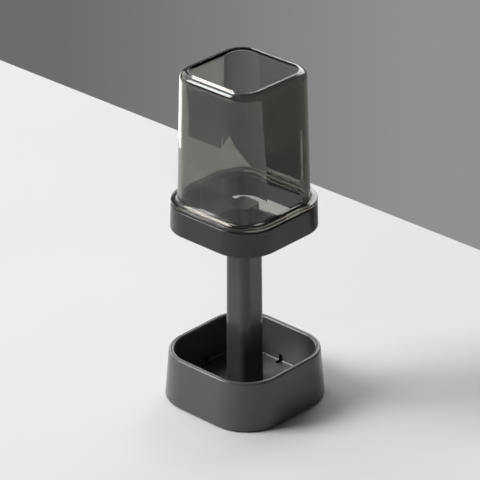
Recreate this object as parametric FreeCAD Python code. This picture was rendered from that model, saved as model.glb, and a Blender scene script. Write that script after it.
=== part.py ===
"""Toothbrush holder: a drain tray with a centre post, a divider ring on the post, a clear sleeve on the ring.

Millimetres, +Z up. The origin lies on the counter, under the middle of the tray.
Every outline is a rounded square. The tray, ring and sleeve share one straight side length, so their
corners have common centres and each outline is an even offset of the next.
"""

import math
import os

import FreeCAD
import Part

# Shared by all pieces
side_flat = 32.4
overrun = 1.0
touch = 0.01

# Drain tray
tray_width = 90.0
tray_lean = 2.8
rim_height = 34.0
rim_wall = 3.6
rim_round = 1.5
hem_round = 0.8
floor_height = 6.2
floor_thickness = 2.4
floor_round = 1.2
skirt_wall = 3.2

# Drain slots at the foot of the tray wall
drain_width = 3.2
drain_reach = 4.6
drain_height = 4.9
drain_recess = 2.2
drain_shift = 3.8

# Foot pads under the tray
pad_diameter = 10.0
pad_thickness = 2.0
pad_proud = 0.8
pad_round = 0.4
pad_fit = 0.15
pad_offset = 23.0
pad_boss_wall = 2.0

# Centre post, and the tray boss that it fits over
post_top = 122.0
post_width = 18.6
post_lean = 0.8
post_flat = 8.4
post_wall = 2.0
post_block = 12.0
post_rim_round = 0.4
foot_reach = 1.3
foot_height = 0.5
foot_round = 1.2
boss_height = 9.0
boss_web = 2.5
boss_fit = 0.15
boss_seat_gap = 0.1

# Screw and washer that hold the post down
screw_diameter = 3.4
screw_fit = 0.05
screw_hole_fit = 0.2
screw_length = 12.0
screw_tip = 2.0
screw_tip_share = 0.3
head_diameter = 7.0
head_height = 2.3
head_round = 0.7
recess_length = 4.0
recess_width = 0.9
recess_depth = 1.2
washer_diameter = 9.0
washer_thickness = 0.8
washer_room = 0.4

# Divider ring
ring_height = 16.8
ring_width = 79.2
ring_lean = 0.6
ring_wall = 3.2
ring_hem_round = 0.9
ring_rim_round = 0.6
rib_quarters = (0, 2, 3)
rib_thickness = 1.8
rib_drop = 1.3
rib_round = 0.8
hub_width = 16.6
hub_round = 0.5
hub_drop = 1.0
hub_roof = 2.4
plug_depth = 24.0
plug_wall = 1.8
plug_fit = 0.3
plug_lead = 0.8

# Clear sleeve
sleeve_height = 89.8
sleeve_inset = 1.2
sleeve_lean = 2.6
sleeve_wall = 2.2
shoulder_round = 5.0
mouth_round = 0.3
mouth_land = 0.1
flange_height = 2.8
flange_round = 0.5
root_round = 1.8
lip_depth = 1.0
lip_round = 0.3
lip_fit = 0.3
seat_width = 1.2
seat_gap = 1.0

# Levels that follow from the sizes above
shell_bottom = pad_proud
floor_bottom = floor_height - floor_thickness
boss_top = floor_height + boss_height
web_bottom = boss_top - boss_web
block_bottom = boss_top + boss_seat_gap
block_top = block_bottom + post_block
foot_top = floor_height + foot_height
screw_seat = web_bottom - washer_thickness
screw_top = screw_seat + screw_length
ring_bottom = post_top
ring_top = ring_bottom + ring_height
rib_top = ring_top - rib_drop
hub_top = ring_top - hub_drop
hub_roof_bottom = hub_top - hub_roof
plug_bottom = ring_bottom - plug_depth
lip_bottom = ring_top - lip_depth
flange_bottom = ring_top + seat_gap
flange_top = ring_top + flange_height
sleeve_top = ring_top + sleeve_height
sleeve_roof = sleeve_top - sleeve_wall

# Half widths and radii that follow from the sizes above
side_half = side_flat / 2
tray_half = tray_width / 2
rim_half = tray_half - tray_lean
well_half = rim_half - rim_wall
skirt_half = tray_half - skirt_wall
post_core_half = post_flat / 2
post_top_half = post_width / 2
post_foot_half = post_top_half + post_lean
post_plate_half = post_foot_half + foot_reach
bore_half = post_top_half - post_wall
socket_half = post_foot_half - post_wall
boss_half = socket_half - boss_fit
ring_top_half = ring_width / 2
ring_foot_half = ring_top_half + ring_lean
ring_bore_half = ring_top_half - ring_wall
rib_half = rib_thickness / 2
hub_half = hub_width / 2
plug_half = bore_half - plug_fit
plug_core_half = plug_half - plug_wall
sleeve_foot_half = ring_bore_half - sleeve_inset
sleeve_top_half = sleeve_foot_half - sleeve_lean
sleeve_foot_inner = sleeve_foot_half - sleeve_wall
sleeve_top_inner = sleeve_top_half - sleeve_wall
mouth_half = sleeve_top_half - shoulder_round - mouth_round - mouth_land
lip_half = ring_bore_half - lip_fit
seat_half = lip_half + seat_width
pad_radius = pad_diameter / 2
screw_radius = screw_diameter / 2
washer_radius = washer_diameter / 2

up = FreeCAD.Vector(0, 0, 1)
centre = FreeCAD.Vector(0, 0, 0)


def corner_arc(before, here, after, radius):
    """Start, middle and end of the arc that rounds one corner of a profile."""
    towards = (before - here).normalize()
    away = (after - here).normalize()
    half_angle = towards.getAngle(away) / 2
    trim = radius / math.tan(half_angle)
    middle_line = (towards + away).normalize()
    reach = radius / math.sin(half_angle) - radius
    return here + towards * trim, here + middle_line * reach, here + away * trim


def profile(corners):
    """Upright face in the XZ plane. Each corner is a half width, a height and a rounding radius."""
    points = [FreeCAD.Vector(half_width, 0, height) for half_width, height, radius in corners]
    count = len(points)
    arcs = [
        corner_arc(points[i - 1], points[i], points[(i + 1) % count], corners[i][2]) for i in range(count)
    ]
    edges = []
    for i in range(count):
        start, middle, end = arcs[i]
        if corners[i][2] > 0:
            edges.append(Part.Arc(start, middle, end).toShape())
        edges.append(Part.LineSegment(end, arcs[(i + 1) % count][0]).toShape())
    return Part.Face(Part.Wire(edges))


def quarter_turns(shape, quarters=(0, 1, 2, 3)):
    """The shape at the four sides of the holder, or at some of them, counted from the +X side."""
    copies = []
    for quarter in quarters:
        copy = shape.copy()
        copy.rotate(centre, up, 90 * quarter)
        copies.append(copy)
    return copies


def swept(corners, flat):
    """A profile carried round a rounded square: along its straight sides and about its corners."""
    flat_half = flat / 2
    side = profile(corners)
    bend = side.copy()
    side.translate(FreeCAD.Vector(0, -flat_half, 0))
    bend.translate(FreeCAD.Vector(0, flat_half, 0))
    straight = side.extrude(FreeCAD.Vector(0, flat, 0))
    corner = bend.revolve(FreeCAD.Vector(flat_half, flat_half, 0), up, 90)
    pieces = quarter_turns(straight) + quarter_turns(corner)
    return pieces[0].fuse(pieces[1:])


def block(half_width, low, high):
    """Upright square block about the axis."""
    corner = FreeCAD.Vector(-half_width, -half_width, low)
    return Part.makeBox(2 * half_width, 2 * half_width, high - low, corner)


def cylinder(radius, low, high, x=0.0, y=0.0):
    """Upright round block."""
    return Part.makeCylinder(radius, high - low, FreeCAD.Vector(x, y, low))


def pad_places():
    """Middles of the four foot pads, on the diagonals."""
    return [(pad_offset * x, pad_offset * y) for x in (1, -1) for y in (1, -1)]


def drain_cutter():
    """Slot through the floor at the foot of the +Y wall, with a round-topped recess up the wall."""
    radius = drain_width / 2
    inner = well_half - drain_reach + radius
    length = drain_reach - radius + drain_recess
    low = floor_bottom - overrun
    crown = floor_height + drain_height - radius
    corner = FreeCAD.Vector(-drain_shift - radius, inner, low)
    slot = Part.makeBox(drain_width, length, crown - low, corner)
    end = cylinder(radius, low, crown, -drain_shift, inner)
    arch_start = FreeCAD.Vector(-drain_shift, inner, crown)
    arch = Part.makeCylinder(radius, length, arch_start, FreeCAD.Vector(0, 1, 0))
    return slot.fuse([end, arch])


def drain_cutters():
    """One drain on each wall, mirrored about the diagonal and turned by half a turn."""
    first = drain_cutter()
    second = first.mirror(centre, FreeCAD.Vector(1, 1, 0))
    cutters = [first, second]
    for cutter in (first, second):
        opposite = cutter.copy()
        opposite.rotate(centre, up, 180)
        cutters.append(opposite)
    return cutters


def drain_tray():
    """Open tray: leaning outer wall, straight inner wall, raised floor, hollow underside, post boss."""
    wall = swept(
        [
            (side_half, floor_bottom, 0),
            (skirt_half, floor_bottom, 0),
            (skirt_half, shell_bottom, 0),
            (tray_half, shell_bottom, hem_round),
            (rim_half, rim_height, rim_round),
            (well_half, rim_height, rim_round),
            (well_half, floor_height, floor_round),
            (side_half, floor_height, 0),
        ],
        side_flat,
    )
    boss_corners = [
        (post_core_half, floor_bottom, 0),
        (boss_half, floor_bottom, 0),
        (boss_half, boss_top, 0),
        (post_core_half, boss_top, 0),
    ]
    pad_boss_radius = pad_radius + pad_fit + pad_boss_wall
    added = [
        block(side_half, floor_bottom, floor_height),
        swept(boss_corners, post_flat),
        block(post_core_half, floor_bottom, boss_top),
    ]
    for x, y in pad_places():
        added.append(cylinder(pad_boss_radius, shell_bottom, floor_bottom, x, y))
    body = wall.fuse(added)

    cuts = drain_cutters()
    for x, y in pad_places():
        cuts.append(cylinder(pad_radius + pad_fit, shell_bottom - overrun, pad_thickness, x, y))
    cuts.append(cylinder(washer_radius + washer_room, floor_bottom - overrun, web_bottom))
    cuts.append(cylinder(screw_radius + screw_hole_fit, web_bottom - overrun, boss_top + overrun))
    return body.cut(cuts).removeSplitter()


def foot_pad(x, y):
    """Soft disc that the tray stands on."""
    pad = cylinder(pad_radius, 0, pad_thickness, x, y)
    lower = [edge for edge in pad.Edges if edge.BoundBox.ZMax < touch]
    return pad.makeFillet(pad_round, lower)


def centre_post():
    """Hollow square column with a flared foot over the tray boss and a solid block for the screw."""
    wall = swept(
        [
            (socket_half, floor_height, 0),
            (post_plate_half, floor_height, 0),
            (post_plate_half, foot_top, 0),
            (post_foot_half, foot_top, foot_round),
            (post_top_half, post_top, post_rim_round),
            (bore_half, post_top, 0),
            (bore_half, block_top, 0),
            (post_core_half, block_top, 0),
            (post_core_half, block_bottom, 0),
            (socket_half, block_bottom, 0),
        ],
        post_flat,
    )
    body = wall.fuse(block(post_core_half, block_bottom, block_top))
    pilot = cylinder(screw_radius + screw_fit, block_bottom - overrun, screw_top + screw_fit)
    return body.cut(pilot).removeSplitter()


def post_screw():
    """Round-headed screw, driven up from below, with a cross recess in its head."""
    head_bottom = screw_seat - head_height
    head = cylinder(head_diameter / 2, head_bottom, screw_seat)
    lower = [edge for edge in head.Edges if edge.BoundBox.ZMax < head_bottom + touch]
    head = head.makeFillet(head_round, lower)
    shank = cylinder(screw_radius, screw_seat, screw_top - screw_tip)
    tip_start = FreeCAD.Vector(0, 0, screw_top - screw_tip)
    tip = Part.makeCone(screw_radius, screw_radius * screw_tip_share, screw_tip, tip_start)
    body = head.fuse([shank, tip])
    corner = FreeCAD.Vector(-recess_length / 2, -recess_width / 2, head_bottom - overrun)
    slot = Part.makeBox(recess_length, recess_width, recess_depth + overrun, corner)
    crossing = slot.copy()
    crossing.rotate(centre, up, 90)
    return body.cut([slot, crossing]).removeSplitter()


def screw_washer():
    """Flat washer between the screw head and the tray."""
    disc = cylinder(washer_radius, screw_seat, web_bottom)
    return disc.cut(cylinder(screw_radius + screw_hole_fit, screw_seat - overrun, web_bottom + overrun))


def rib_corners(shape):
    """Upright edges where the ribs meet the hub and the ring wall."""
    found = []
    for edge in shape.Edges:
        box = edge.BoundBox
        upright = box.XLength < touch and box.YLength < touch
        near, far = sorted((abs(box.Center.x), abs(box.Center.y)))
        meets = min(abs(far - hub_half), abs(far - ring_bore_half)) < touch
        if upright and meets and abs(near - rib_half) < touch:
            found.append(edge)
    return found


def divider_ring():
    """Open ring with three thin ribs, a hub on the post and a hollow plug inside the post."""
    shell = swept(
        [
            (ring_bore_half, ring_bottom, 0),
            (ring_foot_half, ring_bottom, ring_hem_round),
            (ring_top_half, ring_top, ring_rim_round),
            (ring_bore_half, ring_top, ring_rim_round),
        ],
        side_flat,
    )
    hub = swept(
        [
            (plug_core_half, plug_bottom, 0),
            (plug_half - plug_lead, plug_bottom, 0),
            (plug_half, plug_bottom + plug_lead, 0),
            (plug_half, ring_bottom, 0),
            (hub_half, ring_bottom, 0),
            (hub_half, hub_top, hub_round),
            (post_core_half, hub_top, 0),
            (post_core_half, hub_roof_bottom, 0),
            (plug_core_half, hub_roof_bottom, 0),
        ],
        post_flat,
    )
    rib_start = (hub_half + plug_core_half) / 2
    rib_end = ring_bore_half + ring_wall / 2
    corner = FreeCAD.Vector(rib_start, -rib_half, ring_bottom)
    rib = Part.makeBox(rib_end - rib_start, rib_thickness, rib_top - ring_bottom, corner)
    roof = block(post_core_half, hub_roof_bottom, hub_top)
    ribs = quarter_turns(rib, rib_quarters)
    body = shell.fuse([hub, roof] + ribs).removeSplitter()
    return body.makeFillet(rib_round, rib_corners(body))


def clear_sleeve():
    """Leaning clear wall with a rolled shoulder, open at both ends, on a flange with a locating lip."""
    body = swept(
        [
            (sleeve_foot_inner, lip_bottom, 0),
            (lip_half, lip_bottom, lip_round),
            (lip_half, ring_top, 0),
            (seat_half, ring_top, 0),
            (seat_half, flange_bottom, 0),
            (ring_top_half, flange_bottom, flange_round),
            (ring_top_half, flange_top, flange_round),
            (sleeve_foot_half, flange_top, root_round),
            (sleeve_top_half, sleeve_top, shoulder_round),
            (mouth_half, sleeve_top, mouth_round),
            (mouth_half, sleeve_roof, mouth_round),
            (sleeve_top_inner, sleeve_roof, shoulder_round - sleeve_wall),
            (sleeve_foot_inner, flange_top, 0),
        ],
        side_flat,
    )
    return body.removeSplitter()


def save(shape, node):
    """Write one piece, and print what it measures."""
    shape.exportStep("parts/" + node + ".step")
    box = shape.BoundBox
    counts = "solids %d valid %s" % (len(shape.Solids), shape.isValid())
    print(node, counts, "volume %.1f z %.3f to %.3f" % (shape.Volume, box.ZMin, box.ZMax))


os.makedirs("parts", exist_ok=True)
save(drain_tray(), "drain_tray")
save(centre_post(), "centre_post")
save(post_screw(), "post_screw")
save(screw_washer(), "screw_washer")
pad_names = ("foot_pad_right_rear", "foot_pad_right_front", "foot_pad_left_rear", "foot_pad_left_front")
for pad_name, (pad_x, pad_y) in zip(pad_names, pad_places()):
    save(foot_pad(pad_x, pad_y), pad_name)
save(divider_ring(), "divider_ring")
save(clear_sleeve(), "clear_sleeve")
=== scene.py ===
import math

import bpy
from mathutils import Matrix, Vector

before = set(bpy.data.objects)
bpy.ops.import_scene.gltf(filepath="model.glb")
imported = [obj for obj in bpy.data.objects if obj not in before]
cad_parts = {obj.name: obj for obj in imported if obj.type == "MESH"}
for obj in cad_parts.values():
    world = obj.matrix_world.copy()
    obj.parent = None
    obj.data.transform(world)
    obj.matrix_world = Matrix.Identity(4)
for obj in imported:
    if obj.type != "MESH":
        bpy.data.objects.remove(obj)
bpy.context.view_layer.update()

# Camera of the photograph, in degrees, metres and, for sensor and lens, millimetres
VIEW_AZIMUTH = 43.164
VIEW_ELEVATION = 27.063
VIEW_ROLL = -0.333
VIEW_DISTANCE = 1.93354
VIEW_SHIFT_RIGHT = -0.00268
VIEW_SHIFT_UP = 0.09893
VIEW_END = 20.0
SENSOR_WIDTH = 36.0
LENS = 223.26

# Directions of the view: towards the camera, to its right and up
azimuth = math.radians(VIEW_AZIMUTH)
elevation = math.radians(VIEW_ELEVATION)
TOWARDS = Vector(
    (
        math.sin(azimuth) * math.cos(elevation),
        -math.cos(azimuth) * math.cos(elevation),
        math.sin(elevation),
    )
)
RIGHT = Vector((math.cos(azimuth), math.sin(azimuth), 0.0))
UP = TOWARDS.cross(RIGHT)

# Plastics: darker shade, lighter shade, roughness and strength of the grain. The three parts are one
# material, and their different base tones are painted light and shade: the post and, more so, the ring
# are darker than the tray, standing in for the weaker light that falls on them.
TRAY_PLASTIC_PAINTED_LIGHT = ((0.077, 0.077, 0.074), (0.087, 0.087, 0.084), 0.26, 0.2)
POST_PLASTIC_PAINTED_SHADE = ((0.046, 0.047, 0.045), (0.054, 0.055, 0.052), 0.2, 0.15)
RING_PLASTIC_PAINTED_SHADE = ((0.017, 0.0165, 0.0145), (0.021, 0.02, 0.018), 0.15, 0.05)
PLASTIC_IOR = 1.5
SHADE_SCALE = 60.0
GLOSS_SCALE = 900.0
GLOSS_SPREAD = 0.03
GRAIN_SCALE = 4200.0
GRAIN_DEPTH = 0.00003

# Smoke-tinted clear plastic: tint at the faces, for lamps and with depth
CLEAR_DARK = (0.55, 0.543, 0.53)
CLEAR_LIGHT = (0.56, 0.553, 0.54)
CLEAR_SCALE = 40.0
CLEAR_IOR = 1.49
CLEAR_FOR_LAMPS = (0.68, 0.67, 0.65)
CLEAR_DEPTH_TINT = (0.5, 0.478, 0.429)
CLEAR_DENSITY = 240.0

# Hidden small parts: darker and lighter shade, roughness range and scale
STEEL_DARK = (0.5, 0.5, 0.5)
STEEL_LIGHT = (0.62, 0.62, 0.61)
STEEL_ROUGHNESS = (0.25, 0.4)
STEEL_SCALE = 400.0
SILICONE_DARK = (0.02, 0.02, 0.02)
SILICONE_LIGHT = (0.032, 0.032, 0.032)
SILICONE_ROUGHNESS = (0.55, 0.7)
SILICONE_SCALE = 300.0

# Floor, in metres
FLOOR_BACK = 0.26
FLOOR_FRONT = -1.4
FLOOR_SIDE = 1.6
FLOOR_DARK = (0.78, 0.78, 0.77)
FLOOR_LIGHT = (0.83, 0.83, 0.82)
FLOOR_SCALE = 5.0
FLOOR_ROUGHNESS = 0.9

# Backdrop: brightness at the left and right of the view, and all round the room
BACKDROP_LEFT = 0.15
BACKDROP_RIGHT = 0.28
BACKDROP_REACH = 0.06
BACKDROP_EDGE = 0.3
BACKDROP_FULL = 0.9
ROOM = 0.05

# Lights: direction from the middle of the holder, distance, size, radiance, kinds of ray that miss them.
# The cards are small reflectors that show only in the gloss, or only through the clear sleeve.
MIDDLE = Vector((0.0, 0.0, 0.11))
GLOSS_ALONE = ("camera", "diffuse", "transmission")
CLEAR_ALONE = ("camera", "diffuse", "glossy")
SOFTBOXES = {
    "window": ((-0.8, 0.0, 0.6), 7.5, (8.0, 8.0), 1.6, ()),
    "key": ((-0.56, -0.57, 0.6), 7.0, (2.75, 3.75), 14.2, ()),
    "back": ((-0.357, 0.82, 0.42), 7.5, (4.73, 3.75), 3.5, ()),
    "left_card": ((-0.99, 0.11, 0.04), 0.26, (0.2, 0.1), 3.6, GLOSS_ALONE),
    "right_card": ((0.187, 0.236, -0.0485), 0.305, (0.04, 0.033), 3.7, CLEAR_ALONE),
    "low_card": ((0.104, 0.081, -0.079), 0.154, (0.055, 0.062), 0.42, GLOSS_ALONE),
}


def node(tree, kind, **settings):
    """A new shader node with its settings."""
    made = tree.nodes.new(kind)
    for name, value in settings.items():
        setattr(made, name, value)
    return made


def new_material(name):
    """A material whose node tree holds a shader and its output."""
    material = bpy.data.materials.new(name)
    material.use_nodes = True
    tree = material.node_tree
    tree.nodes.clear()
    output = node(tree, "ShaderNodeOutputMaterial")
    shader = node(tree, "ShaderNodeBsdfPrincipled")
    tree.links.new(shader.outputs["BSDF"], output.inputs["Surface"])
    return material, tree, shader


def noise(tree, scale, detail):
    """Noise in the object's own space, where the scale is in cells per metre."""
    place = node(tree, "ShaderNodeTexCoord")
    texture = node(tree, "ShaderNodeTexNoise")
    texture.inputs["Scale"].default_value = scale
    texture.inputs["Detail"].default_value = detail
    tree.links.new(place.outputs["Object"], texture.inputs["Vector"])
    return texture.outputs["Fac"]


def map_range(tree, value, low, high, start=0.0, end=1.0):
    """Maps a value between start and end onto the range from low to high."""
    mapped = node(tree, "ShaderNodeMapRange")
    mapped.inputs["From Min"].default_value = start
    mapped.inputs["From Max"].default_value = end
    mapped.inputs["To Min"].default_value = low
    mapped.inputs["To Max"].default_value = high
    tree.links.new(value, mapped.inputs["Value"])
    return mapped.outputs["Result"]


def blend_colours(tree, factor, low, high):
    """Mixes two colours by a factor."""
    mixed = node(tree, "ShaderNodeMix", data_type="RGBA")
    first, second = [socket for socket in mixed.inputs if socket.type == "RGBA"]
    first.default_value = (*low, 1.0)
    second.default_value = (*high, 1.0)
    tree.links.new(factor, mixed.inputs["Factor"])
    return [socket for socket in mixed.outputs if socket.type == "RGBA"][0]


def moulded_plastic(name, dark, light, roughness, grain):
    """Moulded plastic with a fine spark-eroded grain."""
    material, tree, shader = new_material(name)
    shader.inputs["IOR"].default_value = PLASTIC_IOR
    shade = blend_colours(tree, noise(tree, SHADE_SCALE, 2.0), dark, light)
    tree.links.new(shade, shader.inputs["Base Color"])
    gloss = noise(tree, GLOSS_SCALE, 2.0)
    dullness = map_range(tree, gloss, roughness - GLOSS_SPREAD, roughness + GLOSS_SPREAD)
    tree.links.new(dullness, shader.inputs["Roughness"])
    bump = node(tree, "ShaderNodeBump")
    bump.inputs["Strength"].default_value = grain
    bump.inputs["Distance"].default_value = GRAIN_DEPTH
    tree.links.new(noise(tree, GRAIN_SCALE, 2.0), bump.inputs["Height"])
    tree.links.new(bump.outputs["Normal"], shader.inputs["Normal"])
    return material


def smoke_clear(name):
    """Polished smoke-tinted clear plastic. Lamps shine through it as through the real one."""
    material, tree, shader = new_material(name)
    tint = blend_colours(tree, noise(tree, CLEAR_SCALE, 2.0), CLEAR_DARK, CLEAR_LIGHT)
    tree.links.new(tint, shader.inputs["Base Color"])
    shader.inputs["Roughness"].default_value = 0.0
    shader.inputs["IOR"].default_value = CLEAR_IOR
    shader.inputs["Transmission Weight"].default_value = 1.0
    through = node(tree, "ShaderNodeBsdfTransparent")
    through.inputs["Color"].default_value = (*CLEAR_FOR_LAMPS, 1.0)
    path = node(tree, "ShaderNodeLightPath")
    mixed = node(tree, "ShaderNodeMixShader")
    tree.links.new(path.outputs["Is Shadow Ray"], mixed.inputs["Fac"])
    tree.links.new(shader.outputs["BSDF"], mixed.inputs[1])
    tree.links.new(through.outputs["BSDF"], mixed.inputs[2])
    output = tree.get_output_node("ALL")
    tree.links.new(mixed.outputs["Shader"], output.inputs["Surface"])
    absorb = node(tree, "ShaderNodeVolumeAbsorption")
    absorb.inputs["Color"].default_value = (*CLEAR_DEPTH_TINT, 1.0)
    absorb.inputs["Density"].default_value = CLEAR_DENSITY
    tree.links.new(absorb.outputs["Volume"], output.inputs["Volume"])
    return material


def clouded(name, dark, light, roughness, scale, metallic):
    """Plain finish whose shade and roughness vary together."""
    material, tree, shader = new_material(name)
    shader.inputs["Metallic"].default_value = metallic
    cloud = noise(tree, scale, 3.0)
    tree.links.new(blend_colours(tree, cloud, dark, light), shader.inputs["Base Color"])
    tree.links.new(map_range(tree, cloud, *roughness), shader.inputs["Roughness"])
    return material


def dress(name, material):
    """Gives a CAD node its finish."""
    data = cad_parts[name].data
    data.materials.clear()
    data.materials.append(material)


def floor_material():
    """Pale matt counter."""
    material, tree, shader = new_material("pale_floor")
    shade = blend_colours(tree, noise(tree, FLOOR_SCALE, 4.0), FLOOR_DARK, FLOOR_LIGHT)
    tree.links.new(shade, shader.inputs["Base Color"])
    shader.inputs["Roughness"].default_value = FLOOR_ROUGHNESS
    return material


def add_floor():
    """Pale floor under the holder, ending behind it."""
    corners = (
        (-FLOOR_SIDE, FLOOR_FRONT, 0.0),
        (FLOOR_SIDE, FLOOR_FRONT, 0.0),
        (FLOOR_SIDE, FLOOR_BACK, 0.0),
        (-FLOOR_SIDE, FLOOR_BACK, 0.0),
    )
    mesh = bpy.data.meshes.new("floor")
    mesh.from_pydata(corners, [], [(0, 1, 2, 3)])
    floor = bpy.data.objects.new("floor", mesh)
    bpy.context.scene.collection.objects.link(floor)
    mesh.materials.append(floor_material())


def add_softbox(name, direction, distance, size, radiance, hidden_from):
    """Rectangular light of an even brightness, turned to the holder, and missed by some kinds of ray."""
    lamp = bpy.data.lights.new(name, "AREA")
    lamp.shape = "RECTANGLE"
    lamp.size, lamp.size_y = size
    lamp.energy = radiance * math.pi * size[0] * size[1]
    box = bpy.data.objects.new(name, lamp)
    towards = Vector(direction).normalized()
    box.location = MIDDLE + towards * distance
    box.rotation_euler = towards.to_track_quat("Z", "Y").to_euler()
    for kind in hidden_from:
        setattr(box, "visible_" + kind, False)
    bpy.context.scene.collection.objects.link(box)


def along(tree, direction):
    """How far the ray of the surround points along a direction, from -1 to 1."""
    place = node(tree, "ShaderNodeTexCoord")
    product = node(tree, "ShaderNodeVectorMath", operation="DOT_PRODUCT")
    product.inputs[1].default_value = direction
    tree.links.new(place.outputs["Generated"], product.inputs[0])
    return product.outputs["Value"]


def add_world():
    """Grey backdrop behind the holder, lighter to the right, in a dim room."""
    world = bpy.data.worlds.new("studio")
    bpy.context.scene.world = world
    world.use_nodes = True
    tree = world.node_tree
    tree.nodes.clear()
    output = node(tree, "ShaderNodeOutputWorld")
    background = node(tree, "ShaderNodeBackground")
    across = along(tree, RIGHT)
    backdrop = map_range(tree, across, BACKDROP_LEFT, BACKDROP_RIGHT, -BACKDROP_REACH, BACKDROP_REACH)
    facing = map_range(tree, along(tree, -TOWARDS), 0.0, 1.0, BACKDROP_EDGE, BACKDROP_FULL)
    shade = node(tree, "ShaderNodeMix", data_type="FLOAT")
    shade.inputs["A"].default_value = ROOM
    tree.links.new(facing, shade.inputs["Factor"])
    tree.links.new(backdrop, shade.inputs["B"])
    tree.links.new(shade.outputs["Result"], background.inputs["Color"])
    tree.links.new(background.outputs["Background"], output.inputs["Surface"])


def add_camera():
    """Camera at the photograph's viewing angle."""
    data = bpy.data.cameras.new("camera")
    data.sensor_width = SENSOR_WIDTH
    data.lens = LENS
    data.clip_end = VIEW_END
    camera = bpy.data.objects.new("camera", data)
    roll = math.radians(VIEW_ROLL)
    across = RIGHT * math.cos(roll) + UP * math.sin(roll)
    turn = Matrix((across, TOWARDS.cross(across), TOWARDS)).transposed()
    place = TOWARDS * VIEW_DISTANCE + RIGHT * VIEW_SHIFT_RIGHT + UP * VIEW_SHIFT_UP
    camera.matrix_world = Matrix.Translation(place) @ turn.to_4x4()
    bpy.context.scene.collection.objects.link(camera)
    bpy.context.scene.camera = camera


# The plastics' different base tones carry painted light and shade, lightest on the tray and darkest on
# the ring.
dress("drain_tray", moulded_plastic("tray_plastic", *TRAY_PLASTIC_PAINTED_LIGHT))
dress("centre_post", moulded_plastic("post_plastic", *POST_PLASTIC_PAINTED_SHADE))
dress("divider_ring", moulded_plastic("ring_plastic", *RING_PLASTIC_PAINTED_SHADE))
dress("clear_sleeve", smoke_clear("smoke_clear"))
steel = clouded("steel", STEEL_DARK, STEEL_LIGHT, STEEL_ROUGHNESS, STEEL_SCALE, 1.0)
dress("post_screw", steel)
dress("screw_washer", steel)
silicone = clouded("silicone", SILICONE_DARK, SILICONE_LIGHT, SILICONE_ROUGHNESS, SILICONE_SCALE, 0.0)
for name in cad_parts:
    if name.startswith("foot_pad"):
        dress(name, silicone)

add_floor()
add_world()
for name, settings in SOFTBOXES.items():
    add_softbox(name, *settings)
add_camera()
bpy.context.scene.view_settings.view_transform = "Standard"
